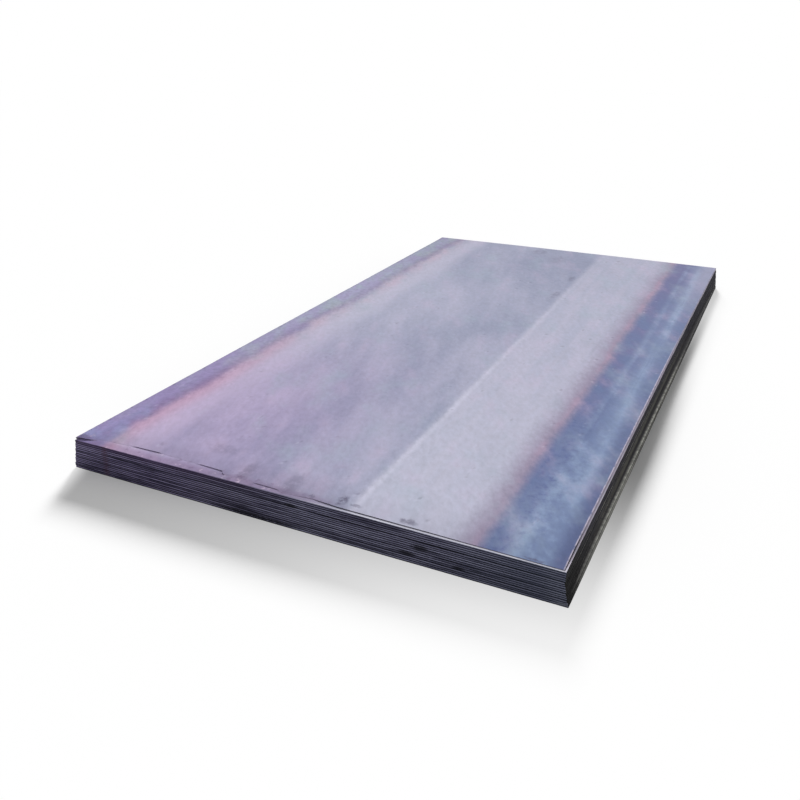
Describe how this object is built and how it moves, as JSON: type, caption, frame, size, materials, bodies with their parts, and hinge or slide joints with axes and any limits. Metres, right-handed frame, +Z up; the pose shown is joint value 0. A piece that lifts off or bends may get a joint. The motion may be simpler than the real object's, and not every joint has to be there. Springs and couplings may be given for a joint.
{
  "type": "stack of steel plates",
  "caption": "Neat stack of bare hot-rolled steel plates, laid face to face: blue-grey mill scale on the faces, sheared ends and rounded mill edges.",
  "frame": {"origin": "on the floor, under the middle of the stack", "axes": "+Y along the plates' length towards the far end of the picture, +X across them, +Z up"},
  "size_m": [1.5299, 3.0124, 0.102],
  "materials": {
    "mill_scale": "bare hot-rolled steel under thin blue-grey mill scale with lilac and pink heat tints"
  },
  "bodies": {
    "root": {"plate_01": "mill_scale", "plate_02": "mill_scale", "plate_03": "mill_scale", "plate_04": "mill_scale", "plate_05": "mill_scale", "plate_06": "mill_scale", "plate_07": "mill_scale", "plate_08": "mill_scale", "plate_09": "mill_scale", "plate_10": "mill_scale", "plate_11": "mill_scale", "plate_12": "mill_scale", "plate_13": "mill_scale", "plate_14": "mill_scale", "plate_15": "mill_scale", "plate_16": "mill_scale", "plate_17": "mill_scale"}
  },
  "joints": []
}
